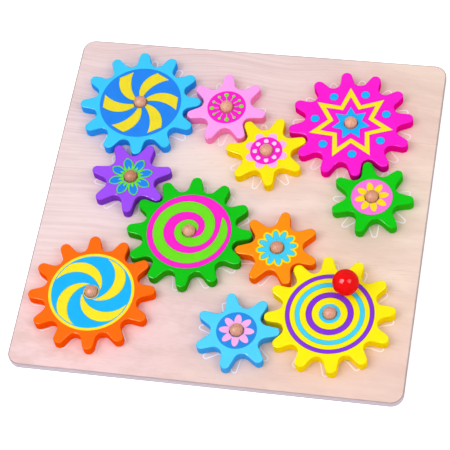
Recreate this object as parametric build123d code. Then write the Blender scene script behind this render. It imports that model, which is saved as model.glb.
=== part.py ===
from build123d import *
import os
from math import atan2, cos, degrees, pi, radians, sin

# A child's gear board: a square of plywood with glued dowel pegs, and on each peg a loose
# toothed wooden gear. One gear carries a ball knob and cranks all the others.
# Millimetres. The origin is the centre of the board's underside, and +Z is up.

# Board
board_side = 300.0
board_thickness = 6.0
board_corner_round = 10.0
board_edge_round = 0.5

# Pegs
peg_diameter = 10.0
peg_stand = 2.0  # straight part above the gear
peg_dome = 3.2  # height of the rounded end
peg_play = 0.5  # room between peg and gear, on the radius

# Gears
gear_thickness = 9.0
gear_lift = 0.3  # running gap over the board
gear_edge_round = 1.0
large_teeth = 12
small_teeth = 7

# Teeth
pitch_per_tooth = 3.7  # pitch radius that each tooth adds
large_addendum = 4.6  # tooth height outside the pitch circle
small_addendum = 6.3
tip_clearance = 1.65  # from a tooth's tip to the bottom of the gap it turns in
backlash = 2.8  # along the pitch circle
flank_slope = 12.0  # degrees between a flank and the tooth's middle line

# Knob
knob_ball_diameter = 20.0
knob_stem_diameter = 6.0
knob_radius = 23.6  # from the crank gear's centre
knob_bearing = 66.0  # degrees from +X, at rest
knob_gap = 1.0  # stem showing between gear and ball
knob_socket_depth = 12.0

# The train starts at the crank gear. Each other gear turns against one that is placed before it:
# its teeth, that neighbour, the bearing from the neighbour's peg in degrees from +X, and how far the
# gear lies off the middle of the play between the teeth, as a share of the backlash.
crank = "yellow_crank"
crank_place = (88.3, -86.5)
crank_phase = 9.1  # degrees from +X to the middle of a tooth
train = {
    "orange_small": (small_teeth, crank, 132.7, -0.28),
    "light_blue_small": (small_teeth, crank, -162.1, -0.47),
    "green_large": (large_teeth, "orange_small", 174.0, 0.47),
    "purple_small": (small_teeth, "green_large", 141.1, -0.27),
    "orange_large": (large_teeth, "green_large", -137.2, -0.14),
    "blue_large": (large_teeth, "purple_small", 94.6, 0.45),
    "pink_small": (small_teeth, "blue_large", 1.6, -0.16),
    "yellow_small": (small_teeth, "pink_small", -44.7, 0.62),
    "magenta_large": (large_teeth, "yellow_small", 27.0, -0.47),
    "green_small": (small_teeth, "magenta_large", -69.1, 0.47),
}

gear_bottom = board_thickness + gear_lift
gear_top = gear_bottom + gear_thickness


def pitch_radius(teeth):
    return teeth * pitch_per_tooth


def outer_radius(teeth):
    addendum = large_addendum if teeth == large_teeth else small_addendum
    return pitch_radius(teeth) + addendum


def root_radius(teeth):
    # the gap takes the other size's tooth, and leaves the tip clearance under it
    mating_addendum = small_addendum if teeth == large_teeth else large_addendum
    return pitch_radius(teeth) - mating_addendum - tip_clearance


def mesh_distance(teeth_a, teeth_b):
    # pitch circles touch, except where two tall-toothed gears need more room
    rolling = pitch_radius(teeth_a) + pitch_radius(teeth_b)
    tip_to_root = outer_radius(teeth_a) + root_radius(teeth_b) + tip_clearance
    return max(rolling, tip_to_root)


def place_gears():
    # for each gear: its teeth, its centre, and the angle of a tooth in degrees
    placed = {crank: (large_teeth, crank_place, crank_phase)}
    for name, (teeth, neighbour, bearing, lie) in train.items():
        neighbour_teeth, (x, y), neighbour_phase = placed[neighbour]
        reach = mesh_distance(neighbour_teeth, teeth)
        centre = (x + reach * cos(radians(bearing)), y + reach * sin(radians(bearing)))
        # a tooth of the neighbour on the line of centres faces a gap of this gear
        turned = neighbour_teeth * (bearing - neighbour_phase) - 180.0
        play_angle = degrees(lie * backlash / pitch_radius(teeth))
        phase = (bearing + 180.0 + turned / teeth + play_angle) % (360.0 / teeth)
        placed[name] = (teeth, centre, phase)
    return placed


def gear_outline(teeth):
    half_pitch = pi / teeth
    outer = outer_radius(teeth)
    root = root_radius(teeth)
    pitch = pitch_radius(teeth)
    half_tooth = (pi * pitch_per_tooth - backlash) / 2
    slope = radians(flank_slope)
    flank_normal = Vector(sin(slope), cos(slope))
    flank_offset = flank_normal.dot(Vector(pitch, half_tooth))
    gap_middle = Vector(cos(half_pitch), sin(half_pitch))
    lean = flank_normal.dot(gap_middle)

    # the tip and the gap's bottom are arcs tangent to the flanks
    tip_round = (flank_offset - outer * sin(slope)) / (1 - sin(slope))
    gap_round = (root * lean - flank_offset) / (1 - lean)
    tip_centre = Vector(outer - tip_round, 0)
    gap_centre = gap_middle * (root + gap_round)

    flank_top = tip_centre + flank_normal * tip_round
    flank_foot = gap_centre - flank_normal * gap_round
    gap_bottom = gap_middle * root
    foot_angle = atan2(flank_foot.Y, flank_foot.X)
    next_foot = flank_foot.rotate(Axis.Z, degrees(2 * (half_pitch - foot_angle)))
    next_top = Vector(flank_top.X, -flank_top.Y).rotate(Axis.Z, degrees(2 * half_pitch))

    edges = []
    for tooth in range(teeth):
        turn = Rot(0, 0, tooth * 360.0 / teeth)
        tip = ThreePointArc((flank_top.X, -flank_top.Y), (outer, 0), flank_top)
        gap = ThreePointArc(flank_foot, gap_bottom, next_foot)
        edges += [turn * tip, turn * Line(flank_top, flank_foot), turn * gap, turn * Line(next_foot, next_top)]
    return make_face(edges)


def make_gear(teeth):
    # a toothed blank with rounded rims and a loose hole for its peg, its underside at z = 0
    blank = extrude(gear_outline(teeth), gear_thickness)
    rims = blank.faces().sort_by(Axis.Z)
    blank = fillet(rims[0].edges() + rims[-1].edges(), gear_edge_round)
    hole = Cylinder(peg_diameter / 2 + peg_play, gear_thickness, align=(Align.CENTER, Align.CENTER, Align.MIN))
    return blank - hole


def make_peg():
    # a dowel from the board's underside to its domed end
    radius = peg_diameter / 2
    shoulder = gear_top + peg_stand
    dome_radius = (radius**2 + peg_dome**2) / (2 * peg_dome)
    dome_edge = radius / 2
    dome_edge_height = shoulder + peg_dome - dome_radius + (dome_radius**2 - dome_edge**2) ** 0.5
    top = (0, 0, shoulder + peg_dome)
    side = Polyline((0, 0, 0), (radius, 0, 0), (radius, 0, shoulder))
    dome = ThreePointArc((radius, 0, shoulder), (dome_edge, 0, dome_edge_height), top)
    profile = make_face([*side.edges(), dome, Line(top, (0, 0, 0))])
    return revolve(profile, Axis.Z)


def make_board(placed):
    board = extrude(RectangleRounded(board_side, board_side, board_corner_round), board_thickness)
    faces = board.faces().sort_by(Axis.Z)
    board = fillet(faces[0].edges() + faces[-1].edges(), board_edge_round)
    hole = Cylinder(peg_diameter / 2, board_thickness, align=(Align.CENTER, Align.CENTER, Align.MIN))
    for _, (x, y), _ in placed.values():
        board -= Pos(x, y) * hole
    return board


def make_knob(crank_centre):
    # the stem goes through the gear and into the ball's socket
    bearing = radians(knob_bearing)
    x = crank_centre[0] + knob_radius * cos(bearing)
    y = crank_centre[1] + knob_radius * sin(bearing)
    ball_radius = knob_ball_diameter / 2
    ball_bottom = gear_top + knob_gap
    stem_length = gear_thickness + knob_gap + knob_socket_depth
    at_base = (Align.CENTER, Align.CENTER, Align.MIN)
    stem = Pos(x, y, gear_bottom) * Cylinder(knob_stem_diameter / 2, stem_length, align=at_base)
    ball = Pos(x, y, ball_bottom + ball_radius) * Sphere(ball_radius) - stem
    return stem, ball


def main():
    placed = place_gears()
    gears = {teeth: make_gear(teeth) for teeth in (large_teeth, small_teeth)}
    peg = make_peg()
    stem, ball = make_knob(crank_place)

    parts = {"board": make_board(placed), "knob_stem": stem, "knob_ball": ball}
    for name, (teeth, (x, y), phase) in placed.items():
        gear = Pos(x, y, gear_bottom) * Rot(0, 0, phase) * gears[teeth]
        parts[name + "_gear"] = gear - stem if name == crank else gear
        parts[name + "_peg"] = Pos(x, y) * peg

    os.makedirs("parts", exist_ok=True)
    for node, part in parts.items():
        export_step(part, f"parts/{node}.step")
    for name, (teeth, (x, y), phase) in placed.items():
        print(f"{name}: {teeth} teeth at {x:.3f}, {y:.3f}, a tooth at {phase:.2f} degrees")


main()
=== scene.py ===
from math import cos, pi, radians, sin

import bmesh
import bpy
from mathutils import Matrix, Quaternion, Vector


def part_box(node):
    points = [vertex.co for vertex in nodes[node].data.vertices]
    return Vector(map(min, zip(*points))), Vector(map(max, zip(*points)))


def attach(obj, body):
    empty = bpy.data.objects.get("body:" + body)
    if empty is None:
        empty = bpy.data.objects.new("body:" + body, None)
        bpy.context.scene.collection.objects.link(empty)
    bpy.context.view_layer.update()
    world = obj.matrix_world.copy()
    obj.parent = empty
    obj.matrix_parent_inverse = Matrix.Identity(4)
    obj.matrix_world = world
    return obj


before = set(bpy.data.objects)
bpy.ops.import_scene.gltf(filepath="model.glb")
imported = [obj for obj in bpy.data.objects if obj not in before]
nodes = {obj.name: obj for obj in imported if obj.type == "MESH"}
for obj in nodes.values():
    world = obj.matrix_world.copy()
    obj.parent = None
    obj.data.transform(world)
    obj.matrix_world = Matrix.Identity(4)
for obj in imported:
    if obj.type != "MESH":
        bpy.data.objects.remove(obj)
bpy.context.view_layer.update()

mm = 0.001               # sizes below are written in millimetres
scene = bpy.context.scene
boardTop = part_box("board")[1].z
print("frame loaded:", len(nodes), "CAD nodes")


# Node graphs

class Value:
    # an output socket: arithmetic on it adds Math nodes
    def __init__(self, graph, socket):
        self.graph = graph
        self.socket = socket

    def other(self, output):
        return Value(self.graph, self.socket.node.outputs[output])

    def __add__(self, other):
        return self.graph.math("ADD", self, other)

    def __sub__(self, other):
        return self.graph.math("SUBTRACT", self, other)

    def __mul__(self, other):
        return self.graph.math("MULTIPLY", self, other)

    def __truediv__(self, other):
        return self.graph.math("DIVIDE", self, other)

    def __pow__(self, other):
        return self.graph.math("POWER", self, other)

    def __rsub__(self, other):
        return self.graph.math("SUBTRACT", other, self)

    def __rtruediv__(self, other):
        return self.graph.math("DIVIDE", other, self)

    __radd__ = __add__
    __rmul__ = __mul__


class Graph:
    def __init__(self, tree):
        self.tree = tree

    def add(self, kind, settings=None, inputs=None, output=0):
        node = self.tree.nodes.new(kind)
        for name, setting in (settings or {}).items():
            if name == "stops":
                self.setStops(node.color_ramp, setting)
            elif name == "keys":
                self.setKeys(node.mapping, setting)
            else:
                setattr(node, name, setting)
        for name, given in (inputs or {}).items():
            for item in given if isinstance(given, list) else [given]:
                if isinstance(item, Value):
                    self.tree.links.new(item.socket, node.inputs[name])
                else:
                    node.inputs[name].default_value = item
        return Value(self, node.outputs[output]) if node.outputs else node

    def setStops(self, ramp, stops):
        while len(ramp.elements) < len(stops):
            ramp.elements.new(1.0)
        for element, (place, colour) in zip(ramp.elements, stops):
            element.position = place
            element.color = colour

    def setKeys(self, mapping, keys):
        points = mapping.curves[0].points
        while len(points) < len(keys):
            points.new(1.0, 1.0)
        for point, key in zip(points, keys):
            point.location = key
        mapping.update()

    def math(self, operation, *values):
        return self.add("ShaderNodeMath", {"operation": operation}, dict(enumerate(values)))

    def vector(self, x, y, z):
        return self.add("ShaderNodeCombineXYZ", None, {"X": x, "Y": y, "Z": z})

    def mix(self, factor, a, b):
        # blends two colours
        return self.add("ShaderNodeMix", {"data_type": "RGBA"}, {0: factor, 6: a, 7: b}, 2)

    def smooth(self, value, low, high):
        # 0 below low, 1 above high
        settings = {"interpolation_type": "SMOOTHSTEP"}
        return self.add("ShaderNodeMapRange", settings, {"Value": value, "From Min": low, "From Max": high})


# Prints on the gears and on the board. Each motif is a Geometry Nodes tree that makes thin closed films.

socketKinds = {
    "length": ("NodeSocketFloat", "DISTANCE"),
    "angle": ("NodeSocketFloat", "ANGLE"),
    "number": ("NodeSocketFloat", "NONE"),
    "point": ("NodeSocketVector", "TRANSLATION"),
    "count": ("NodeSocketInt", "NONE"),
    "material": ("NodeSocketMaterial", None),
}
filmInputs = {"Film Bottom": "length", "Film Top": "length", "Ink": "material"}

filmDetail = {
    # points round each curve
    "ring": 128, "dot": 40, "crescent arc": 96, "tooth arc": 14,
    # rows along each strip
    "petal": 33, "crescent": 65, "spiral": 241,
    # how near two points are welded into one, in mm
    "weld": 0.001, "outline weld": 0.01,
}


def newTree(name, inputs):
    # an empty tree with named inputs, its graph, and the inputs' values by name
    tree = bpy.data.node_groups.new(name, "GeometryNodeTree")
    tree.interface.new_socket(name="Geometry", in_out="OUTPUT", socket_type="NodeSocketGeometry")
    for title, kind in (inputs | filmInputs).items():
        socketType, subtype = socketKinds[kind]
        socket = tree.interface.new_socket(name=title, in_out="INPUT", socket_type=socketType)
        if subtype and subtype != "NONE":
            socket.subtype = subtype
    graph = Graph(tree)
    first = tree.nodes.new("NodeGroupInput")
    given = {title: Value(graph, first.outputs[title]) for title in inputs | filmInputs}
    return tree, graph, given


def closeFilm(graph, given, flat):
    # raises a flat mesh into a closed film, gives it its ink and ends the tree
    weld = filmDetail["weld"] * mm
    lift = graph.vector(0.0, 0.0, given["Film Bottom"])
    placed = graph.add("GeometryNodeSetPosition", None, {"Geometry": flat, "Offset": lift})
    sheet = graph.add("GeometryNodeMergeByDistance", None, {"Geometry": placed, "Distance": weld})
    thickness = given["Film Top"] - given["Film Bottom"]
    up = graph.vector(0.0, 0.0, 1.0)
    raised = graph.add("GeometryNodeExtrudeMesh", {"mode": "FACES"},
                       {"Mesh": sheet, "Offset": up, "Offset Scale": thickness, "Individual": False})
    under = graph.add("GeometryNodeFlipFaces", None, {"Mesh": sheet})
    joined = graph.add("GeometryNodeJoinGeometry", None, {"Geometry": [raised, under]})
    welded = graph.add("GeometryNodeMergeByDistance", None, {"Geometry": joined, "Distance": weld})
    endTree(graph, given, welded)


def endTree(graph, given, geometry):
    real = graph.add("GeometryNodeRealizeInstances", None, {"Geometry": geometry})
    inked = graph.add("GeometryNodeSetMaterial", None, {"Geometry": real, "Material": given["Ink"]})
    graph.add("NodeGroupOutput", None, {"Geometry": inked})


def repeatAround(graph, given, shape):
    # Count copies of a shape about the centre, from Start Angle on
    points = graph.add("GeometryNodePoints", None, {"Count": given["Count"]})
    index = graph.add("GeometryNodeInputIndex")
    angle = given["Start Angle"] + index * (2 * pi) / given["Count"]
    turn = graph.add("FunctionNodeAxisAngleToRotation", None, {"Axis": (0.0, 0.0, 1.0), "Angle": angle})
    copies = graph.add("GeometryNodeInstanceOnPoints", None,
                       {"Points": points, "Instance": shape, "Rotation": turn})
    return graph.add("GeometryNodeRealizeInstances", None, {"Geometry": copies})


def strip(graph, rows):
    # a two-column grid, with how far along each point lies (0 to 1) and its side (0 or 1)
    grid = graph.add("GeometryNodeMeshGrid", None,
                     {"Size X": 1.0, "Size Y": 1.0, "Vertices X": rows, "Vertices Y": 2})
    place = graph.add("GeometryNodeInputPosition")
    x = graph.add("ShaderNodeSeparateXYZ", None, {"Vector": place})
    return grid, x + 0.5, x.other("Y") + 0.5


def polarPoint(graph, radius, angle):
    return graph.vector(radius * graph.math("COSINE", angle), radius * graph.math("SINE", angle), 0.0)


def ringTree():
    tree, graph, given = newTree("ring", {
        "Inner Radius": "length", "Outer Radius": "length", "Edge": "length"})
    radii = [given["Inner Radius"] - given["Edge"], given["Outer Radius"] + given["Edge"]]
    circles = [graph.add("GeometryNodeCurvePrimitiveCircle", None,
                         {"Resolution": filmDetail["ring"], "Radius": radius}) for radius in radii]
    both = graph.add("GeometryNodeJoinGeometry", None, {"Geometry": circles})
    closeFilm(graph, given, graph.add("GeometryNodeFillCurve", None, {"Curve": both}))
    return tree


def dotTree():
    tree, graph, given = newTree("dots", {
        "Count": "count", "Start Angle": "angle", "Ring Radius": "length", "Dot Radius": "length",
        "Edge": "length"})
    circle = graph.add("GeometryNodeCurvePrimitiveCircle", None,
                       {"Resolution": filmDetail["dot"], "Radius": given["Dot Radius"] + given["Edge"]})
    dot = graph.add("GeometryNodeFillCurve", None, {"Curve": circle})
    out = graph.vector(given["Ring Radius"], 0.0, 0.0)
    placed = graph.add("GeometryNodeSetPosition", None, {"Geometry": dot, "Offset": out})
    closeFilm(graph, given, repeatAround(graph, given, placed))
    return tree


def petalTree():
    # petals, drops and pinwheel blades: narrow at the hub, widest on the way, and closed by the tip
    tree, graph, given = newTree("petals", {
        "Count": "count", "Start Angle": "angle", "Hub Radius": "length", "Widest Radius": "length",
        "Tip Radius": "length", "Hub Width": "length", "Width": "length", "Swell": "number",
        "Tip Roundness": "number", "Sweep": "angle", "Edge": "length"})
    grid, along, side = strip(graph, filmDetail["petal"])
    hub, widest = given["Hub Radius"] - given["Edge"], given["Widest Radius"]
    tip = given["Tip Radius"] + given["Edge"]
    eased = 1.0 - (1.0 - along) ** 2.0       # more rows near the tip
    radius = hub + (tip - hub) * eased
    risen = graph.add("ShaderNodeClamp", None, {"Value": (radius - hub) / (widest - hub)})
    fallen = graph.add("ShaderNodeClamp", None, {"Value": (radius - widest) / (tip - widest)})
    opened = 1.0 - (1.0 - risen) ** given["Swell"]
    width = given["Hub Width"] + (given["Width"] - given["Hub Width"]) * opened
    halfWidth = width * 0.5 * (1.0 - fallen * fallen) ** given["Tip Roundness"]
    sector = radius * graph.math("TANGENT", pi / given["Count"])       # neighbours meet here
    halfWidth = graph.math("MAXIMUM", graph.math("MINIMUM", halfWidth + given["Edge"], sector), 0.0)
    across = halfWidth * (side * 2.0 - 1.0)
    curl = 1.2                               # above 1, a blade bends more near its tip
    swept = given["Sweep"] * (1.0 - eased ** curl)
    x = radius * graph.math("COSINE", swept) - across * graph.math("SINE", swept)
    y = radius * graph.math("SINE", swept) + across * graph.math("COSINE", swept)
    place = graph.vector(x, y, 0.0)
    petal = graph.add("GeometryNodeSetPosition", None, {"Geometry": grid, "Position": place})
    closeFilm(graph, given, repeatAround(graph, given, petal))
    return tree


def starTree():
    # a star with a star-shaped inside left open
    tree, graph, given = newTree("star", {
        "Points": "count", "Start Angle": "angle", "Tip Radius": "length", "Notch Radius": "length",
        "Inner Tip Radius": "length", "Inner Notch Radius": "length", "Edge": "length"})
    stars = []
    for part, way in (("", 1.0), ("Inner ", -1.0)):
        edge = given["Edge"] * way
        stars.append(graph.add("GeometryNodeCurveStar", None, {
            "Points": given["Points"], "Outer Radius": given[part + "Tip Radius"] + edge,
            "Inner Radius": given[part + "Notch Radius"] + edge}))
    both = graph.add("GeometryNodeJoinGeometry", None, {"Geometry": stars})
    filled = graph.add("GeometryNodeFillCurve", None, {"Curve": both})
    turn = graph.vector(0.0, 0.0, given["Start Angle"])
    turned = graph.add("GeometryNodeTransform", None, {"Geometry": filled, "Rotation": turn})
    closeFilm(graph, given, turned)
    return tree


def crescentTree():
    # swirl blades between two arcs, held inside a rim
    tree, graph, given = newTree("crescents", {
        "Count": "count", "Start Angle": "angle", "Root": "point", "Inner Middle": "point",
        "Outer Middle": "point", "Tip": "point", "Rim Radius": "length", "Edge": "length"})
    grid, along, side = strip(graph, filmDetail["crescent"])
    bladeHalf = 4.0 * mm                     # about half a blade's width
    wider = 0.5 + (side - 0.5) * (1.0 + given["Edge"] / bladeHalf)
    edges = []
    for middle in ("Inner Middle", "Outer Middle"):
        arc = graph.add("GeometryNodeCurveArc", {"mode": "POINTS"}, {
            "Resolution": filmDetail["crescent arc"], "Start": given["Root"], "Middle": given[middle],
            "End": given["Tip"]})
        edges.append(graph.add("GeometryNodeSampleCurve", {"mode": "FACTOR"},
                               {"Curves": arc, "Factor": along}, "Position"))
    place = graph.add("ShaderNodeMix", {"data_type": "VECTOR", "clamp_factor": False},
                      {0: wider, 4: edges[0], 5: edges[1]}, 1)
    reach = graph.add("ShaderNodeVectorMath", {"operation": "LENGTH"}, {0: place}, "Value")
    hold = graph.math("MINIMUM", (given["Rim Radius"] + given["Edge"]) / reach, 1.0)
    held = graph.add("ShaderNodeVectorMath", {"operation": "SCALE"}, {0: place, "Scale": hold})
    blade = graph.add("GeometryNodeSetPosition", None, {"Geometry": grid, "Position": held})
    closeFilm(graph, given, repeatAround(graph, given, blade))
    return tree


def spiralTree(innerKeys, outerKeys):
    # one band that winds outwards: its edges' radii, as shares of Reach, by how far round it lies
    tree, graph, given = newTree("spiral", {
        "Start Angle": "angle", "Sweep": "angle", "Reach": "length", "Hub Radius": "length",
        "Edge": "length"})
    grid, along, side = strip(graph, filmDetail["spiral"])
    inner, outer = (graph.add("ShaderNodeFloatCurve", {"keys": keys}, {"Value": along}) * given["Reach"]
                    for keys in (innerKeys, outerKeys))
    inner = graph.math("MAXIMUM", inner - given["Edge"], given["Hub Radius"])
    outer = graph.math("MAXIMUM", outer + given["Edge"], inner)
    radius = inner + (outer - inner) * side
    angle = given["Start Angle"] + given["Sweep"] * along
    band = graph.add("GeometryNodeSetPosition", None,
                     {"Geometry": grid, "Position": polarPoint(graph, radius, angle)})
    closeFilm(graph, given, band)
    return tree


def outlineTree():
    # a line round a gear's teeth: tip arc, flank, gap arc, flank, repeated and swept with a flat section
    corners = ["Last Top", "Tip", "Flank Top", "Flank Foot", "Gap", "Next Foot", "Next Top"]
    sizes = {"Count": "count", "Start Angle": "angle", "Line Width": "length"}
    tree, graph, given = newTree("outline", sizes | {corner: "point" for corner in corners})
    arcs = [graph.add("GeometryNodeCurveArc", {"mode": "POINTS"}, {
                "Resolution": filmDetail["tooth arc"], "Start": given[start], "Middle": given[middle],
                "End": given[end]})
            for start, middle, end in (corners[0:3], corners[3:6])]
    flanks = [graph.add("GeometryNodeCurvePrimitiveLine", None, {"Start": given[start], "End": given[end]})
              for start, end in (corners[2:4], corners[5:7])]
    tooth = graph.add("GeometryNodeJoinGeometry", None, {"Geometry": arcs + flanks})
    wires = graph.add("GeometryNodeCurveToMesh", None, {"Curve": tooth})
    teeth = repeatAround(graph, given, wires)
    weld = filmDetail["outline weld"] * mm
    loop = graph.add("GeometryNodeMergeByDistance", None, {"Geometry": teeth, "Distance": weld})
    path = graph.add("GeometryNodeMeshToCurve", None, {"Mesh": loop})
    level = graph.add("GeometryNodeSetCurveNormal", {"mode": "Z_UP"}, {"Curve": path})
    thickness = given["Film Top"] - given["Film Bottom"]
    section = graph.add("GeometryNodeCurvePrimitiveQuadrilateral", None,
                        {"Width": given["Line Width"], "Height": thickness})
    line = graph.add("GeometryNodeCurveToMesh", None, {"Curve": level, "Profile Curve": section})
    lift = graph.vector(0.0, 0.0, given["Film Bottom"] + thickness / 2.0)
    endTree(graph, given, graph.add("GeometryNodeSetPosition", None, {"Geometry": line, "Offset": lift}))
    return tree


def growMesh(name, tree, values):
    # runs a tree once and gives its result as a plain mesh
    holder = bpy.data.objects.new(name, bpy.data.meshes.new(name))
    scene.collection.objects.link(holder)
    modifier = holder.modifiers.new(tree.name, "NODES")
    modifier.node_group = tree
    for item in tree.interface.items_tree:
        if item.in_out == "OUTPUT":
            continue
        value = values[item.name]
        if item.socket_type == "NodeSocketVector":
            value = [part * mm for part in value]
        elif item.socket_type == "NodeSocketFloat" and item.subtype == "DISTANCE":
            value = float(value) * mm
        elif item.socket_type == "NodeSocketFloat" and item.subtype == "ANGLE":
            value = radians(value)
        modifier[item.identifier] = value
    evaluated = holder.evaluated_get(bpy.context.evaluated_depsgraph_get())
    mesh = bpy.data.meshes.new_from_object(evaluated)
    bpy.data.objects.remove(holder)
    return mesh


def faceOutwards(made, faces):
    # recalculated normals all point inwards on some thin films, and a negative volume shows it
    bmesh.ops.recalc_face_normals(made, faces=faces)
    volume = sum(face.calc_area() * face.normal.dot(face.calc_center_median()) for face in faces) / 3
    if volume < 0.0:
        bmesh.ops.reverse_faces(made, faces=faces)


def joinMeshes(name, meshes):
    # one object from several closed meshes, each with one ink
    made = bpy.data.meshes.new(name)
    joined = bmesh.new()
    for mesh in meshes:
        ink = mesh.materials[-1]
        if ink.name not in made.materials:
            made.materials.append(ink)
        seen = len(joined.faces)
        joined.from_mesh(mesh)
        joined.faces.ensure_lookup_table()
        added = joined.faces[seen:]
        for face in added:
            face.material_index = made.materials.find(ink.name)
            face.smooth = False
        faceOutwards(joined, added)
    joined.to_mesh(made)
    joined.free()
    piece = bpy.data.objects.new(name, made)
    scene.collection.objects.link(piece)
    return piece


# Materials

def srgb(colour):
    # a 0 to 255 screen colour as the shader's linear one
    linear = []
    for part in colour:
        share = part / 255
        linear.append(share / 12.92 if share <= 0.04045 else ((share + 0.055) / 1.055) ** 2.4)
    return (*linear, 1.0)


def shade(colour, factor):
    return tuple(part * factor for part in colour)


def newMaterial(name, **constants):
    # a Principled material, its graph, its object coordinates and its shader
    material = bpy.data.materials.new(name)
    material.use_nodes = True
    shader = material.node_tree.nodes["Principled BSDF"]
    for title, value in constants.items():
        shader.inputs[title.replace("_", " ")].default_value = value
    graph = Graph(material.node_tree)
    place = graph.add("ShaderNodeTexCoord", None, None, "Object")
    return material, graph, place, shader


def feed(shader, graph, **links):
    for title, value in links.items():
        graph.tree.links.new(value.socket, shader.inputs[title.replace("_", " ")])


even = (1.0, 1.0, 1.0)       # a pattern that isn't stretched


def noise(graph, place, scale, stretch=even, detail=2.0, roughness=0.5):
    # stretch multiplies how fine the pattern is along each axis
    moved = graph.add("ShaderNodeMapping", None, {"Vector": place, "Scale": stretch})
    return graph.add("ShaderNodeTexNoise", None,
                     {"Vector": moved, "Scale": scale, "Detail": detail, "Roughness": roughness})


def mottled(graph, cloud, colour, mottle):
    # a colour that wanders a little with the clouds
    full = srgb(colour)
    return graph.mix(cloud, shade(full, 1.0 - mottle), shade(full, 1.0 + mottle / 2))


def bump(graph, height, distance, strength=1.0):
    return graph.add("ShaderNodeBump", None, {"Height": height, "Distance": distance, "Strength": strength})


inkFinish = {
    "colours": {
        "blue": (34, 134, 242), "deep blue": (36, 140, 230), "cyan": (18, 182, 252), "sky": (64, 210, 250),
        "yellow": (252, 232, 36), "gold": (255, 226, 22), "straw": (240, 222, 44), "lime": (110, 228, 30),
        "magenta": (250, 30, 205), "purple": (132, 50, 222), "pink": (253, 178, 238),
        "rose": (250, 118, 225), "pale pink": (255, 212, 246),
        # where one ink overprints another
        "green seam": (30, 150, 50), "brown seam": (120, 52, 40), "olive seam": (70, 84, 50),
        "violet seam": (96, 64, 190),
    },
    "roughness": 0.42,
    "mottle": 0.03,          # how much the ink's tone wanders
    "coat": 0.12,
    "relief": 0.01,          # depth of the dimples, in mm
    # patterns here and below: how fine, stretched how, how much detail, and how rough
    "cloud": (160.0, even, 3.0),
    "dimples": (1900.0, even, 1.0),
}


def inkMaterial(name, colour, mottle=inkFinish["mottle"]):
    # screen-printed ink: even colour, a little cloudy, with the fine dimples of the mesh it went through
    material, graph, place, shader = newMaterial(
        name.replace(" ", "_") + "_ink", Specular_IOR_Level=0.05, Coat_Roughness=0.25)
    cloud = noise(graph, place, *inkFinish["cloud"])
    tone = mottled(graph, graph.smooth(cloud, 0.3, 0.7), colour, mottle)
    dimples = noise(graph, place, *inkFinish["dimples"])
    roughness = inkFinish["roughness"] + (cloud - 0.5) * 0.15
    feed(shader, graph, Base_Color=tone, Roughness=roughness, Coat_Weight=cloud * inkFinish["coat"],
         Normal=bump(graph, dimples, inkFinish["relief"] * mm, 0.5))
    return material


paintFinish = {
    "roughness": 0.36,
    "mottle": 0.035,
    "grainShow": 0.06,       # how far the wood's grain shows through on the faces
    "grainTone": 0.7,
    "sideShow": 0.30,        # and on the sides, where end grain drinks the paint
    "sideTone": 0.62,
    "coat": 0.18,
    "coatWander": 0.1,
    "relief": 0.06,          # in mm
    "cloud": (55.0, even, 4.0),
    "grain": (60.0, (0.35, 6.0, 1.0), 4.0, 0.6),
    "plies": (90.0, (1.0, 1.0, 14.0), 4.0, 0.65),
    "pores": (420.0, (1.0, 1.0, 0.25), 2.0),
    "skin": (700.0, even, 2.0),
}


def paintMaterial(name, top, side):
    # opaque satin paint on wood: the sides have their own, deeper colour, streaked where the end grain shows
    material, graph, place, shader = newMaterial(
        name + "_paint", Specular_IOR_Level=0.0, Coat_Roughness=0.08)
    normal = graph.add("ShaderNodeTexCoord", None, None, "Normal")
    upright = graph.add("ShaderNodeSeparateXYZ", None, {"Vector": normal}, "Z")
    face = graph.smooth(graph.math("ABSOLUTE", upright), 0.25, 0.85)
    cloud, grain, plies, pores, skin = (noise(graph, place, *paintFinish[pattern])
                                        for pattern in ("cloud", "grain", "plies", "pores", "skin"))
    topTone = mottled(graph, graph.smooth(cloud, 0.25, 0.75), top, paintFinish["mottle"])
    topTone = graph.mix(graph.smooth(grain, 0.45, 0.75) * paintFinish["grainShow"], topTone,
                        shade(srgb(top), paintFinish["grainTone"]))
    soaked = graph.smooth(plies * 0.65 + pores * 0.35, 0.42, 0.66) * paintFinish["sideShow"]
    sideTone = graph.mix(soaked, srgb(side), shade(srgb(side), paintFinish["sideTone"]))
    colour = graph.mix(face, sideTone, topTone)
    roughness = paintFinish["roughness"] + (cloud - 0.5) * 0.12 + (1.0 - face) * 0.08
    coatWeight = face * (paintFinish["coat"] + cloud * paintFinish["coatWander"])
    relief = skin * 0.4 + grain * 0.6 * face + plies * 1.2 * (1.0 - face)
    feed(shader, graph, Base_Color=colour, Roughness=roughness, Coat_Weight=coatWeight,
         Normal=bump(graph, relief, paintFinish["relief"] * mm, 0.6))
    return material


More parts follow.
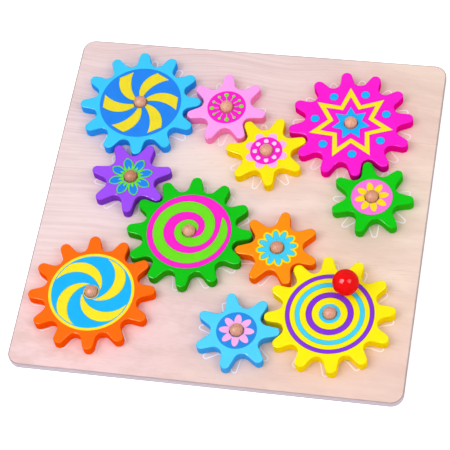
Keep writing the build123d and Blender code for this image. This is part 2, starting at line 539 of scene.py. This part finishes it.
plyFinish = {
    # tones, then places and sizes in mm
    "light": (244, 221, 211),
    "dark": (214, 180, 170),
    "leftLightTint": (242, 222, 230),       # painted light: the left half's tint, as under cool light from the left
    "rightLightTint": (247, 224, 205),       # and the right half's, as under warmer light
    "nearShadeLeft": (244, 206, 208),   # painted shade: the near side, darker, at the left
    "nearShadeRight": (230, 192, 184),
    "pore": (204, 158, 142),
    # the painted pool of light's tone
    "pale": (247, 229, 216),
    "plyLight": (226, 213, 223),
    "plyDark": (190, 174, 185),
    "glue": (150, 130, 140),
    "arris": (128, 108, 112),      # a darker tone for the rounded edge and the sheet's rim
    "heart": (-25.0, 45.0),        # painted light: where a pale pool of light lies on the sheet
    "joint": 75.6,                 # where two face veneers meet, along X
    "side": 300.0,
    "corner": 10.0,
    "thickness": 6.0,
    "plies": 5,
    # how far each layer of tone covers the ones before
    "share": {
        "tint": 0.48, "near": 0.5, "marble": 0.5, "heart": 0.6, "dashes": 0.3, "veneer": 0.12, "joint": 0.3,
        "scorch": 0.65, "pits": 0.5, "glueLine": 0.35, "arris": 0.7,
    },
    "roughness": 0.52,
    "relief": 0.05,                # in mm
    "sway": (7.0, (1.0, 0.7, 1.0), 1.0),
    "clouds": (26.0, (0.5, 1.7, 1.0), 4.0, 0.6),
    "lines": (55.0, (0.16, 9.0, 1.0), 4.0, 0.6),
    "dashes": (260.0, (0.30, 6.5, 1.0), 2.0),
    "patches": (9.0, (0.8, 1.4, 1.0), 2.0),
    "marble": (48.0, (0.6, 1.4, 1.0), 6.0, 0.7),
    "fibres": (240.0, (1.0, 1.0, 5.0), 3.0, 0.6),
    "pits": (1300.0, even, 1.0),
}


def plywoodMaterial():
    # birch plywood: faint grain along X, two face veneers, and stacked plies on the edges
    material, graph, place, shader = newMaterial("birch_plywood", Specular_IOR_Level=0.15)

    def layer(below, mask, share, tone):
        return graph.mix(mask * plyFinish["share"][share], below, srgb(plyFinish[tone]))

    x = graph.add("ShaderNodeSeparateXYZ", None, {"Vector": place})
    y, z = x.other("Y"), x.other("Z")
    joint = plyFinish["joint"] * mm
    veneer = graph.math("GREATER_THAN", y, joint)
    seam = 1.0 - graph.smooth(graph.math("ABSOLUTE", y - joint), 0.1 * mm, 0.35 * mm)

    # the grain's lines wander gently, and each veneer has its own
    sway = noise(graph, place, *plyFinish["sway"])
    shift = graph.vector(veneer * 3.7, (sway - 0.5) * (0.03 + veneer * 0.02), veneer * 1.3)
    bent = graph.add("ShaderNodeVectorMath", {"operation": "ADD"}, {0: place, 1: shift})
    clouds, lines, dashes, marble = (noise(graph, bent, *plyFinish[pattern])
                                     for pattern in ("clouds", "lines", "dashes", "marble"))
    patches, fibres, pits = (noise(graph, place, *plyFinish[pattern])
                             for pattern in ("patches", "fibres", "pits"))
    rightHalf = graph.smooth(x - y * 0.3 + (patches - 0.5) * 0.1, -0.04, 0.09)

    # the far left of the sheet is streaky, and its near side marbled, most of all at the left
    streaky = graph.smooth(y * 2.0 - x * 2.2 + (patches - 0.5) * 0.3, -0.1, 0.35)
    figure = clouds + (lines - clouds) * (0.12 + streaky * 0.6)
    wood = graph.mix(graph.smooth(figure, 0.34, 0.68), srgb(plyFinish["light"]), srgb(plyFinish["dark"]))
    # painted light: the sheet is cooler on the left and warmer on the right, as the light falls there
    tint = graph.mix(rightHalf, srgb(plyFinish["leftLightTint"]), srgb(plyFinish["rightLightTint"]))
    wood = graph.mix(plyFinish["share"]["tint"], wood, tint)
    # painted shade: the near side of the sheet is darker
    nearSide = graph.smooth(y + (patches - 0.5) * 0.06, -0.04, -0.12)
    nearShade = graph.mix(rightHalf, srgb(plyFinish["nearShadeLeft"]), srgb(plyFinish["nearShadeRight"]))
    wood = graph.mix(nearSide * plyFinish["share"]["near"], wood, nearShade)
    marbled = graph.smooth(marble, 0.42, 0.65) * nearSide * (1.0 - rightHalf * 0.7)
    wood = layer(wood, marbled, "marble", "dark")
    # painted light: a pale pool, left of the middle and towards the back, fading towards the edges
    poolX, poolY = plyFinish["heart"]
    away = graph.vector((x - poolX * mm) * 0.6, (y - poolY * mm) * 1.7, 0.0)
    reach = graph.add("ShaderNodeVectorMath", {"operation": "LENGTH"}, {0: away}, "Value")
    heart = 1.0 - graph.smooth(reach + (clouds - 0.5) * 0.05, 0.0, 0.085)
    wood = layer(wood, heart, "heart", "pale")
    wood = layer(wood, graph.smooth(dashes, 0.63, 0.72), "dashes", "pore")
    wood = layer(wood, veneer, "veneer", "dark")
    wood = layer(wood, seam, "joint", "pore")

    # the sheet's rim is darker
    rim = (plyFinish["side"] / 2 - plyFinish["corner"]) * mm
    outX, outY = (graph.math("MAXIMUM", graph.math("ABSOLUTE", part) - rim, 0.0) for part in (x, y))
    out = (outX * outX + outY * outY) ** 0.5 + (clouds - 0.5) * 0.4 * mm
    scorch = graph.smooth(out, (plyFinish["corner"] - 1.2) * mm, (plyFinish["corner"] - 0.5) * mm)
    wood = layer(wood, scorch, "scorch", "arris")

    # edges: long grain and end grain take turns, and change places round a corner
    normal = graph.add("ShaderNodeTexCoord", None, None, "Normal")
    facing = graph.add("ShaderNodeSeparateXYZ", None, {"Vector": normal})
    level = graph.math("ABSOLUTE", facing.other("Z"))
    face = graph.smooth(level, 0.7, 0.97)
    # the rounded edge between face and side is darker
    arris = graph.smooth(level, 0.15, 0.45) * (1.0 - face)
    ply = z / (plyFinish["thickness"] / plyFinish["plies"] * mm)
    odd = graph.math("GREATER_THAN", graph.math("FRACT", ply * 0.5), 0.5)
    alongX = graph.smooth(graph.math("ABSOLUTE", facing), 0.4, 0.9)
    endGrain = odd + alongX - odd * alongX * 2.0
    edge = graph.mix(endGrain * 0.7 + (fibres - 0.5) * 0.4, srgb(plyFinish["plyLight"]),
                     srgb(plyFinish["plyDark"]))
    edge = layer(edge, graph.smooth(pits, 0.58, 0.7) * endGrain, "pits", "glue")
    step = graph.math("ABSOLUTE", graph.math("FRACT", ply + 0.5) - 0.5)
    edge = layer(edge, 1.0 - graph.smooth(step, 0.03, 0.1), "glueLine", "glue")
    edge = layer(edge, arris, "arris", "arris")

    roughness = plyFinish["roughness"] + (lines - 0.5) * 0.2 + (1.0 - face) * 0.2
    relief = lines * 0.5 + dashes * 0.5 + fibres * 1.5 * (1.0 - face)
    feed(shader, graph, Base_Color=graph.mix(face, edge, wood), Roughness=roughness,
         Normal=bump(graph, relief, plyFinish["relief"] * mm, 0.6))
    return material


dowelFinish = {
    "light": (238, 178, 148),
    "dark": (206, 138, 110),
    "pore": (160, 104, 82),
    "ringSpacing": 1.1,
    "heart": 14.0,         # the tree's heart lies this far outside the dowel, so the rings are shallow arcs
    "ringShow": 0.16,
    "poreShow": 0.22,
    "roughness": 0.46,
    "relief": 0.04,        # in mm, as the ring spacing and the heart are
    "wobble": (300.0, (1.0, 1.0, 0.15), 2.0),
    "streaks": (900.0, (1.0, 1.0, 0.08), 3.0, 0.6),
    "pores": (2600.0, (1.0, 1.0, 0.06), 1.0),
    "tones": {             # how light each peg is, and the stem
        "yellow_crank": 0.92, "orange_small": 0.88, "light_blue_small": 0.88, "green_large": 0.92,
        "purple_small": 0.7, "orange_large": 0.84, "blue_large": 0.92, "pink_small": 1.0,
        "yellow_small": 1.0, "magenta_large": 1.0, "green_small": 0.92, "knob_stem": 0.9,
    },
    # and how much redder than plain beech
    "redder": {"purple_small": 0.16, "green_small": 0.08, "orange_small": 0.04},
}


def dowelMaterial(name, centre):
    # a beech dowel: streaks down its side, growth rings and pores on its end
    material, graph, place, shader = newMaterial(name + "_dowel", Specular_IOR_Level=0.2)
    local = graph.add("ShaderNodeMapping", None, {"Vector": place, "Location": (-centre.x, -centre.y, 0.0)})
    x = graph.add("ShaderNodeSeparateXYZ", None, {"Vector": local})
    y = x.other("Y")
    heart = dowelFinish["heart"] * mm
    reach = ((x + heart) * (x + heart) + y * y) ** 0.5
    wobble, streaks, pores = (noise(graph, place, *dowelFinish[pattern])
                              for pattern in ("wobble", "streaks", "pores"))
    ring = graph.math("SINE", (reach + wobble * 0.5 * mm) * (2 * pi / (dowelFinish["ringSpacing"] * mm)))
    tone = dowelFinish["tones"][name]
    redder = dowelFinish["redder"].get(name, 0.0)
    dye = (tone, tone * (1.0 - redder), tone * (1.0 - redder * 2.0), 1.0)
    light, dark = (tuple(part * share for part, share in zip(srgb(dowelFinish[end]), dye))
                   for end in ("light", "dark"))
    grain = ring * dowelFinish["ringShow"] + streaks
    colour = graph.mix(graph.smooth(grain, 0.2, 0.85), light, dark)
    pored = graph.smooth(pores, 0.62, 0.7) * dowelFinish["poreShow"]
    colour = graph.mix(pored, colour, srgb(dowelFinish["pore"]))
    feed(shader, graph, Base_Color=colour, Roughness=dowelFinish["roughness"] + (streaks - 0.5) * 0.2,
         Normal=bump(graph, streaks * 0.6 + pores * 0.4, dowelFinish["relief"] * mm, 0.6))
    return material


knobFinish = {
    "red": (244, 0, 5),
    "deep": (212, 0, 2),
    "deepShow": 0.5,
    "roughness": 0.16,
    "coat": 0.18,
    "coatWander": 0.07,
    "relief": 0.02,          # in mm
    "cloud": (90.0, even, 2.0),
    "ripple": (260.0, even, 1.0),
}


def lacquerMaterial():
    # glossy dipped lacquer: a faint unevenness, and a thinner, deeper coat in soft patches
    material, graph, place, shader = newMaterial(
        "red_lacquer", Specular_IOR_Level=0.0, Coat_Roughness=0.05)
    cloud = noise(graph, place, *knobFinish["cloud"])
    ripple = noise(graph, place, *knobFinish["ripple"])
    patch = graph.smooth(cloud, 0.3, 0.75) * knobFinish["deepShow"]
    colour = graph.mix(patch, srgb(knobFinish["red"]), srgb(knobFinish["deep"]))
    feed(shader, graph, Base_Color=colour, Roughness=knobFinish["roughness"] + cloud * 0.08,
         Coat_Weight=knobFinish["coat"] + cloud * knobFinish["coatWander"],
         Normal=bump(graph, ripple, knobFinish["relief"] * mm, 0.2))
    return material


def coat(nodeName, material):
    piece = nodes[nodeName]
    if piece.material_slots:
        for slot in piece.material_slots:
            slot.material = material
    else:
        piece.data.materials.append(material)


# Gears: the paint on each, and its print from the lowest ink to the highest: motif, ink, sizes and, for some,
# the ink of the seam round it. Lengths in mm, angles in degrees from +X, at rest.

usualSizes = {"petals": {"Swell": 2.0, "Sweep": 0.0}}      # where a print gives no other
gearLooks = {
    "yellow_crank": {
        "top": (255, 242, 4), "side": (255, 222, 10),
        "print": [
            ("ring", "purple", {"Inner Radius": 29.9, "Outer Radius": 33.3}, "brown seam"),
            ("ring", "sky", {"Inner Radius": 22.5, "Outer Radius": 26.1}, "green seam"),
            ("ring", "purple", {"Inner Radius": 13.4, "Outer Radius": 17.9}, "brown seam"),
            ("ring", "sky", {"Inner Radius": 5.5, "Outer Radius": 8.2}),
        ],
    },
    "green_large": {
        "top": (2, 198, 10), "side": (50, 168, 20),
        "print": [
            ("ring", "magenta", {"Inner Radius": 5.6, "Outer Radius": 32.8}, "olive seam"),
            ("spiral", "lime", {
                "Start Angle": 8.0, "Sweep": 744.0, "Reach": 33.0, "Hub Radius": 5.6}, "brown seam"),
        ],
    },
    "orange_large": {
        "top": (255, 110, 0), "side": (255, 88, 0),
        "print": [
            ("ring", "yellow", {"Inner Radius": 5.5, "Outer Radius": 33.1}),
            ("ring", "cyan", {"Inner Radius": 6.0, "Outer Radius": 31.0}),
            ("crescents", "yellow", {
                "Count": 4, "Start Angle": 0.0, "Rim Radius": 30.3,
                "Root": (2.36, -6.48, 0.0), "Inner Middle": (11.4, 0.0, 0.0),
                "Outer Middle": (20.4, 0.0, 0.0), "Tip": (6.8, 29.7, 0.0)},
             "green seam"),
        ],
    },
    "blue_large": {
        "top": (60, 206, 255), "side": (50, 156, 250),
        "print": [
            ("ring", "blue", {"Inner Radius": 5.5, "Outer Radius": 33.0}),
            ("petals", "straw", {
                "Count": 6, "Start Angle": 2.5,
                "Hub Radius": 5.6, "Widest Radius": 29.8, "Tip Radius": 30.0,
                "Hub Width": 3.0, "Width": 12.2, "Swell": 1.8, "Tip Roundness": 0.0, "Sweep": 31.0},
             "green seam"),
        ],
    },
    "magenta_large": {
        "top": (255, 20, 212), "side": (240, 6, 156),
        "print": [
            ("star", "yellow", {
                "Points": 7, "Start Angle": 46.2, "Tip Radius": 33.8, "Notch Radius": 18.5,
                "Inner Tip Radius": 24.9, "Inner Notch Radius": 14.0}, "brown seam"),
            ("star", "cyan", {
                "Points": 7, "Start Angle": 46.2, "Tip Radius": 15.3, "Notch Radius": 8.8,
                "Inner Tip Radius": 5.7, "Inner Notch Radius": 5.7}, "violet seam"),
            ("dots", "cyan", {
                "Count": 7, "Start Angle": 22.3, "Ring Radius": 28.8, "Dot Radius": 3.4}, "violet seam"),
        ],
    },
    "orange_small": {
        "top": (255, 146, 0), "side": (255, 106, 8),
        "print": [
            ("petals", "gold", {
                "Count": 12, "Start Angle": 13.5,
                "Hub Radius": 5.5, "Widest Radius": 10.5, "Tip Radius": 16.5,
                "Hub Width": 6.0, "Width": 7.4, "Tip Roundness": 0.5}),
            ("petals", "sky", {
                "Count": 12, "Start Angle": 13.5,
                "Hub Radius": 5.6, "Widest Radius": 9.5, "Tip Radius": 15.0,
                "Hub Width": 4.5, "Width": 4.6, "Tip Roundness": 0.48}, "green seam"),
        ],
    },
    "light_blue_small": {
        "top": (82, 214, 255), "side": (70, 168, 245),
        "print": [
            ("ring", "deep blue", {"Inner Radius": 5.5, "Outer Radius": 15.3}),
            ("petals", "pink", {
                "Count": 8, "Start Angle": 1.5,
                "Hub Radius": 5.6, "Widest Radius": 8.0, "Tip Radius": 13.3,
                "Hub Width": 5.2, "Width": 5.4, "Tip Roundness": 0.5}),
        ],
    },
    "purple_small": {
        "top": (160, 78, 248), "side": (132, 60, 208),
        "print": [
            ("petals", "lime", {
                "Count": 8, "Start Angle": 20.3,
                "Hub Radius": 5.6, "Widest Radius": 12.0, "Tip Radius": 17.9,
                "Hub Width": 6.0, "Width": 7.9, "Tip Roundness": 0.8}, "olive seam"),
            ("petals", "blue", {
                "Count": 8, "Start Angle": 20.3,
                "Hub Radius": 6.4, "Widest Radius": 12.3, "Tip Radius": 16.8,
                "Hub Width": 2.4, "Width": 5.9, "Tip Roundness": 0.68}),
            ("petals", "lime", {
                "Count": 8, "Start Angle": 20.3,
                "Hub Radius": 5.5, "Widest Radius": 7.0, "Tip Radius": 10.2,
                "Hub Width": 3.0, "Width": 2.0, "Tip Roundness": 1.0}),
        ],
    },
    "pink_small": {
        "top": (255, 164, 244), "side": (254, 136, 198),
        "print": [
            ("ring", "magenta", {"Inner Radius": 5.5, "Outer Radius": 15.5}),
            ("petals", "lime", {
                "Count": 12, "Start Angle": 9.6,
                "Hub Radius": 6.3, "Widest Radius": 11.0, "Tip Radius": 11.2,
                "Hub Width": 0.45, "Width": 0.45, "Tip Roundness": 0.0}),
            ("dots", "lime", {"Count": 12, "Start Angle": 9.6, "Ring Radius": 11.8, "Dot Radius": 1.15}),
            ("dots", "lime", {"Count": 4, "Start Angle": 9.6, "Ring Radius": 11.8, "Dot Radius": 1.75}),
        ],
    },
    "yellow_small": {
        "top": (255, 236, 4), "side": (255, 212, 8),
        "print": [
            ("petals", "pink", {
                "Count": 8, "Start Angle": 31.3,
                "Hub Radius": 10.0, "Widest Radius": 13.0, "Tip Radius": 17.2,
                "Hub Width": 7.6, "Width": 7.6, "Tip Roundness": 0.55}),
            ("ring", "magenta", {"Inner Radius": 5.5, "Outer Radius": 12.7}),
            ("petals", "pale pink", {
                "Count": 8, "Start Angle": 8.5,
                "Hub Radius": 7.4, "Widest Radius": 8.7, "Tip Radius": 10.8,
                "Hub Width": 2.6, "Width": 3.6, "Tip Roundness": 0.5}),
        ],
    },
    "green_small": {
        "top": (0, 205, 6), "side": (46, 186, 24),
        "print": [
            ("ring", "rose", {"Inner Radius": 5.6, "Outer Radius": 16.1}, "olive seam"),
            ("petals", "gold", {
                "Count": 8, "Start Angle": 16.5,
                "Hub Radius": 5.5, "Widest Radius": 8.4, "Tip Radius": 13.3,
                "Hub Width": 3.8, "Width": 5.2, "Tip Roundness": 0.68}),
        ],
    },
}

# the green gear's spiral: each edge's radius, as a share of Reach, by how far round the band lies
spiralKeys = {
    "inner": [(0.0, 0.165), (0.37, 0.165), (0.47, 0.325), (0.59, 0.510), (0.71, 0.600), (0.83, 0.585),
              (0.92, 0.645), (0.965, 0.71), (1.0, 0.850)],
    "outer": [(0.0, 0.165), (0.07, 0.285), (0.17, 0.330), (0.32, 0.375), (0.47, 0.565), (0.59, 0.795),
              (0.66, 0.845), (0.83, 0.855), (0.92, 0.870), (0.965, 0.905), (1.0, 0.850)],
}

# how each ink lies in the wood or on the ink before it, and how wide its seam is, in mm
printFilm = {"sunk": 0.03, "first": 0.03, "step": 0.025, "overlap": 0.01, "seam": 0.1}


def printLayers(look):
    # an ink with a seam is printed twice: first the seam, a little wider, then the ink, a little narrower
    layers = []
    for motif, ink, given, *seam in look["print"]:
        sizes = usualSizes.get(motif, {}) | given
        if seam:
            layers.append((motif, seam[0], sizes | {"Edge": printFilm["seam"]}))
        layers.append((motif, ink, sizes | {"Edge": -printFilm["seam"] if seam else 0.0}))
    return layers


def makePrints(inks, motifs):
    for name, look in gearLooks.items():
        low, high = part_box(name + "_peg")
        centre = (low + high) / 2
        films = []
        for place, (motif, ink, sizes) in enumerate(printLayers(look)):
            top = printFilm["first"] + place * printFilm["step"]
            bottom = -printFilm["sunk"] if place == 0 else top - printFilm["step"] - printFilm["overlap"]
            values = sizes | {"Film Bottom": bottom, "Film Top": top, "Ink": inks[ink]}
            films.append(growMesh(f"{name}_{motif}_{place}", motifs[motif], values))
        piece = joinMeshes(name + "_print", films)
        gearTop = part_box(name + "_gear")[1].z
        piece.data.transform(Matrix.Translation((centre.x, centre.y, gearTop)))
        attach(piece, name + "_gear")
        print("printed", name, len(piece.data.polygons), "faces")


# White outlines on the board: each gear's outline, drawn in, about its peg. Lengths in mm, angles in degrees.

outlineLooks = {
    "large": {"teeth": 12, "outer": 49.0, "tipRound": 4.24, "root": 36.45, "gapRound": 5.50},
    "small": {"teeth": 7, "outer": 32.2, "tipRound": 3.79, "root": 19.65, "gapRound": 5.97},
    "inset": 1.8,
    "slope": 12.0,
    "lineWidth": 0.9,
    "ink": (252, 244, 250),
    "mottle": 0.02,
    "turned": {
        "yellow_crank": 3.5, "green_large": 25.5, "orange_large": 11.5, "blue_large": 27.3,
        "magenta_large": 26.5, "orange_small": 45.0, "light_blue_small": 16.8, "purple_small": 28.7,
        "pink_small": 11.0, "yellow_small": 1.5, "green_small": 23.4,
    },
}


def toothPoints(look, inset):
    # the named corners of one tooth, drawn in by the inset
    half = pi / look["teeth"]
    slope = radians(outlineLooks["slope"])
    tipRound = look["tipRound"] - inset
    gapRound = look["gapRound"] + inset
    tipCentre = Vector((look["outer"] - look["tipRound"], 0.0, 0.0))
    gapMiddle = Vector((cos(half), sin(half), 0.0))
    gapCentre = gapMiddle * (look["root"] + look["gapRound"])
    flankNormal = Vector((sin(slope), cos(slope), 0.0))
    flankTop = tipCentre + flankNormal * tipRound
    flankFoot = gapCentre - flankNormal * gapRound
    nextTooth = Matrix.Rotation(2 * half, 3, "Z")
    mirrored = Vector((1.0, -1.0, 1.0))
    return {
        "Last Top": flankTop * mirrored,
        "Tip": tipCentre + Vector((tipRound, 0.0, 0.0)),
        "Flank Top": flankTop,
        "Flank Foot": flankFoot,
        "Gap": gapCentre - gapMiddle * gapRound,
        "Next Foot": nextTooth @ (flankFoot * mirrored),
        "Next Top": nextTooth @ (flankTop * mirrored),
    }


def makeOutlines(ink, tree):
    films = []
    for name, turned in outlineLooks["turned"].items():
        look = outlineLooks["small" if "small" in name else "large"]
        low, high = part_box(name + "_peg")
        centre = (low + high) / 2
        values = {"Count": look["teeth"], "Start Angle": turned, "Line Width": outlineLooks["lineWidth"],
                  "Film Bottom": -printFilm["sunk"], "Film Top": printFilm["first"], "Ink": ink}
        mesh = growMesh(name + "_outline", tree, values | toothPoints(look, outlineLooks["inset"]))
        mesh.transform(Matrix.Translation((centre.x, centre.y, boardTop)))
        films.append(mesh)
    piece = joinMeshes("board_outlines", films)
    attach(piece, "base")
    print("board outlines:", len(piece.data.polygons), "faces")


# Room: camera, lamps, white world and floor

cameraView = {
    # lengths in mm and angles in degrees, but the near clip in m
    "lens": 153.107, "distance": 1481.4, "aim": (-4.32, -13.81),
    "azimuth": 19.953, "elevation": 58.752, "roll": -12.053, "clipStart": 0.05,
}


def makeCamera():
    azimuth, elevation = radians(cameraView["azimuth"]), radians(cameraView["elevation"])
    back = Vector((sin(azimuth) * cos(elevation), -cos(azimuth) * cos(elevation), sin(elevation)))
    aim = Vector((cameraView["aim"][0] * mm, cameraView["aim"][1] * mm, boardTop))
    camera = bpy.data.objects.new("camera", bpy.data.cameras.new("camera"))
    scene.collection.objects.link(camera)
    camera.data.lens = cameraView["lens"]
    camera.data.clip_start = cameraView["clipStart"]
    camera.location = aim + back * cameraView["distance"] * mm
    camera.rotation_mode = "QUATERNION"
    roll = Quaternion((0.0, 0.0, 1.0), radians(cameraView["roll"]))
    camera.rotation_quaternion = (-back).to_track_quat("-Z", "Y") @ roll
    scene.camera = camera


lampLooks = {
    # each soft box: where it stands as seen from the board, its distance and size in m, its power in W, its
    # colour, and how many times as strong as its light its mirror image is
    "key": {"towards": (-0.413, -0.324, 0.848), "distance": 2.2, "size": 1.5, "power": 18.0,
            "colour": (1.0, 0.975, 1.0), "gloss": 9.8},
    "fill": {"towards": (0.629, -0.22, 0.739), "distance": 2.2, "size": 1.2, "power": 8.5,
             "colour": (1.0, 0.975, 0.95), "gloss": 4.7},
}
roomLook = {
    "ambient": 0.63,
    "glossNearness": 0.99,   # the gloss lamps hang just in front of the others, so that reflections meet them
    "floorSize": 6.0,
    "floorDrop": 0.02,       # in mm
    "floor": (250, 250, 250),
    "floorGlow": 0.5,
    "paperGrain": (40.0, even, 2.0),
}


def makeLamps():
    for name, look in lampLooks.items():
        towards = Vector(look["towards"]).normalized()
        roles = (("light", 1.0, 1.0), ("gloss", look["gloss"], roomLook["glossNearness"]))
        for role, strength, nearness in roles:
            lamp = bpy.data.objects.new(f"{name}_{role}", bpy.data.lights.new(f"{name}_{role}", "AREA"))
            scene.collection.objects.link(lamp)
            lamp.data.shape = "DISK"
            lamp.data.size = look["size"]
            lamp.data.energy = look["power"] * strength
            lamp.data.color = look["colour"]
            lamp.location = towards * look["distance"] * nearness
            lamp.rotation_euler = towards.to_track_quat("Z", "Y").to_euler()
            lamp.visible_diffuse = role == "light"
            lamp.visible_glossy = role == "gloss"


def makeWorld():
    # lights the object softly, and is white where the camera, a reflection or glass shows it
    world = bpy.data.worlds.new("room")
    scene.world = world
    world.use_nodes = True
    graph = Graph(world.node_tree)
    cameraRay = graph.add("ShaderNodeLightPath", None, None, "Is Camera Ray")
    glossyRay, transmissionRay = cameraRay.other("Is Glossy Ray"), cameraRay.other("Is Transmission Ray")
    seen = graph.math("MAXIMUM", cameraRay, graph.math("MAXIMUM", glossyRay, transmissionRay))
    strength = roomLook["ambient"] + seen * (1.0 - roomLook["ambient"])
    background = world.node_tree.nodes["Background"]
    background.inputs["Color"].default_value = (1.0, 1.0, 1.0, 1.0)
    world.node_tree.links.new(strength.socket, background.inputs["Strength"])


def makeFloor():
    # a white floor just under the board, which keeps the board's shadow
    half = roomLook["floorSize"] / 2
    mesh = bpy.data.meshes.new("floor")
    mesh.from_pydata([(-half, -half, 0.0), (half, -half, 0.0), (half, half, 0.0), (-half, half, 0.0)], [],
                     [(0, 1, 2, 3)])
    floor = bpy.data.objects.new("floor", mesh)
    floor.location.z = -roomLook["floorDrop"] * mm
    scene.collection.objects.link(floor)
    material, graph, place, shader = newMaterial("floor_paper", Roughness=0.9, Specular_IOR_Level=0.0)
    grain = noise(graph, place, *roomLook["paperGrain"])
    white = srgb(roomLook["floor"])
    feed(shader, graph, Base_Color=graph.mix(grain, shade(white, 0.99), white))
    # a little light of its own, for the camera only, lifts the paper to white
    cameraRay = graph.add("ShaderNodeLightPath", None, None, "Is Camera Ray")
    glow = graph.add("ShaderNodeEmission", None,
                     {"Color": (1.0, 1.0, 1.0, 1.0), "Strength": cameraRay * roomLook["floorGlow"]})
    both = graph.add("ShaderNodeAddShader", None, {0: Value(graph, shader.outputs[0]), 1: glow})
    surface = material.node_tree.nodes["Material Output"].inputs["Surface"]
    material.node_tree.links.new(both.socket, surface)
    mesh.materials.append(material)


scene.view_settings.view_transform = "Standard"
makeCamera()
makeLamps()
makeWorld()
makeFloor()
print("camera, lamps and floor stand")

coat("board", plywoodMaterial())
coat("knob_ball", lacquerMaterial())
stemLow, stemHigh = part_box("knob_stem")
coat("knob_stem", dowelMaterial("knob_stem", (stemLow + stemHigh) / 2))
for name, look in gearLooks.items():
    coat(name + "_gear", paintMaterial(name, look["top"], look["side"]))
    pegLow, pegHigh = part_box(name + "_peg")
    coat(name + "_peg", dowelMaterial(name, (pegLow + pegHigh) / 2))
print("wood, paint and lacquer are on")

inks = {name: inkMaterial(name, colour) for name, colour in inkFinish["colours"].items()}
motifs = {
    "ring": ringTree(), "dots": dotTree(), "petals": petalTree(), "star": starTree(),
    "crescents": crescentTree(), "spiral": spiralTree(spiralKeys["inner"], spiralKeys["outer"]),
}
makePrints(inks, motifs)
makeOutlines(inkMaterial("white", outlineLooks["ink"], outlineLooks["mottle"]), outlineTree())
